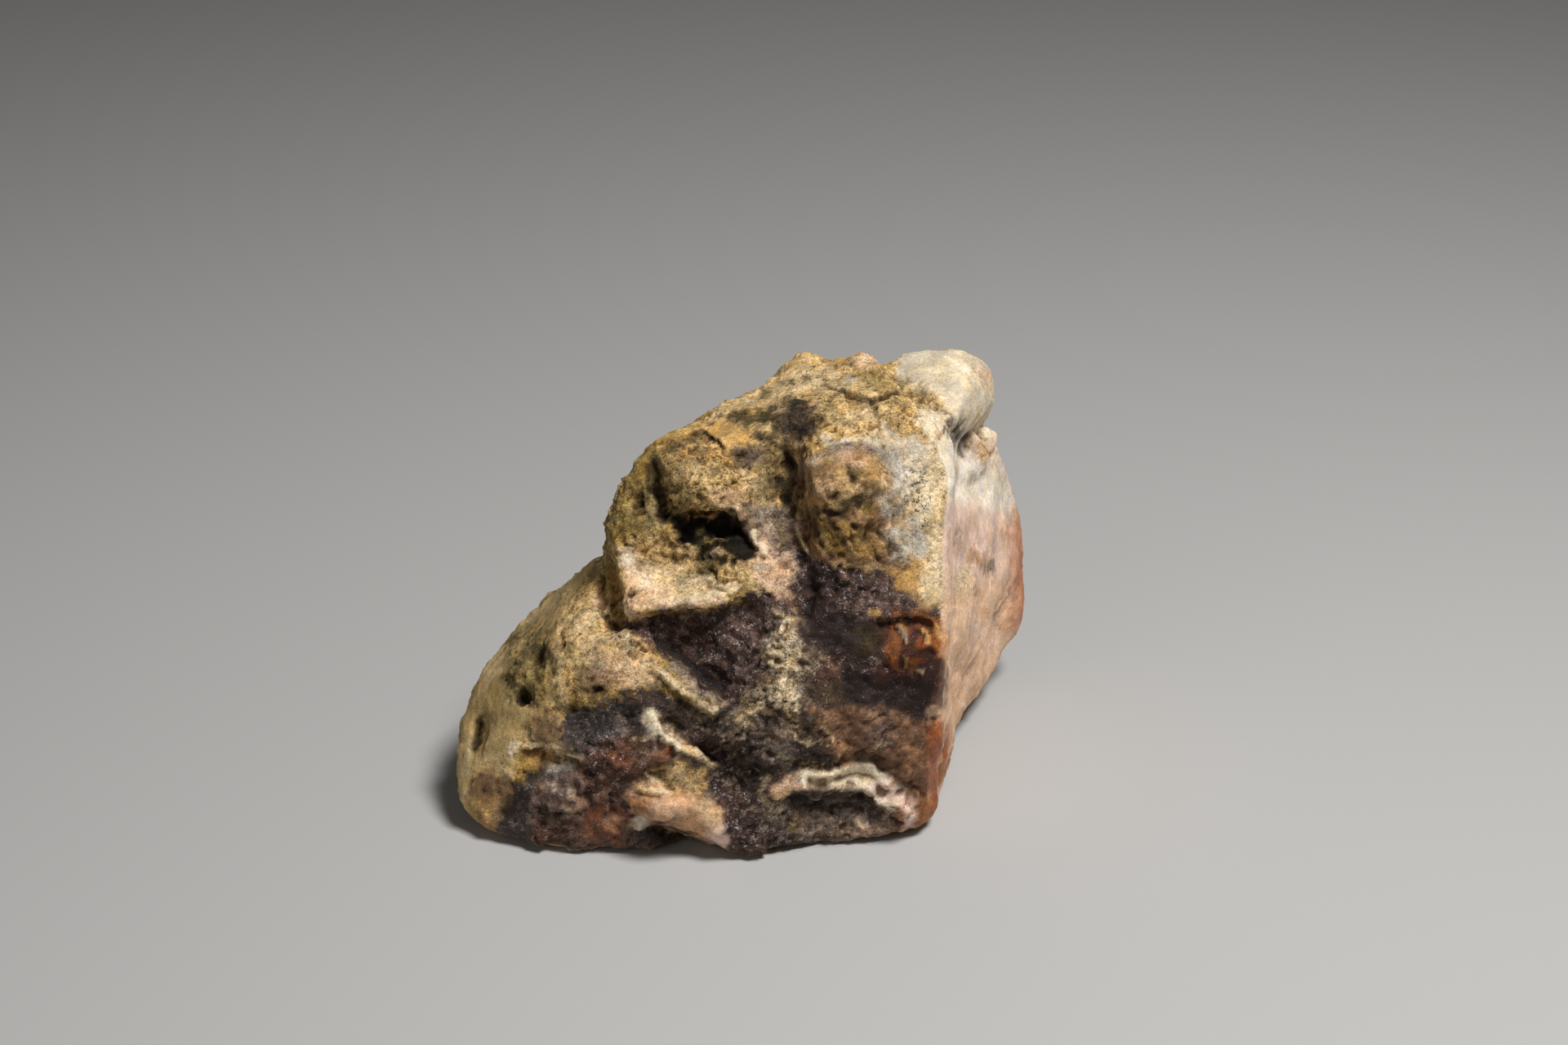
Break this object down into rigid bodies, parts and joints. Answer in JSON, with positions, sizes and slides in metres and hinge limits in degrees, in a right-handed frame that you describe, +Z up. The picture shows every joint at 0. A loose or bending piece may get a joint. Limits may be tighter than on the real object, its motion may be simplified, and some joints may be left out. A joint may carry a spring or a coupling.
{
  "type": "silica rock sample",
  "caption": "Hand sample of silica rock: one broken, stepped chert block with a weathered rind, pits and ledges, standing on a flat spot.",
  "frame": {"origin": "middle of the bounding box's bottom, on the surface that the stone rests on", "axes": "+X to the stone's right as its broken face is looked at, +Y to its back, +Z up"},
  "size_m": [0.069, 0.0534, 0.0498],
  "materials": {
    "silica_stone": "matte"
  },
  "bodies": {
    "root": {"silica_rock": "silica_stone"}
  },
  "joints": []
}
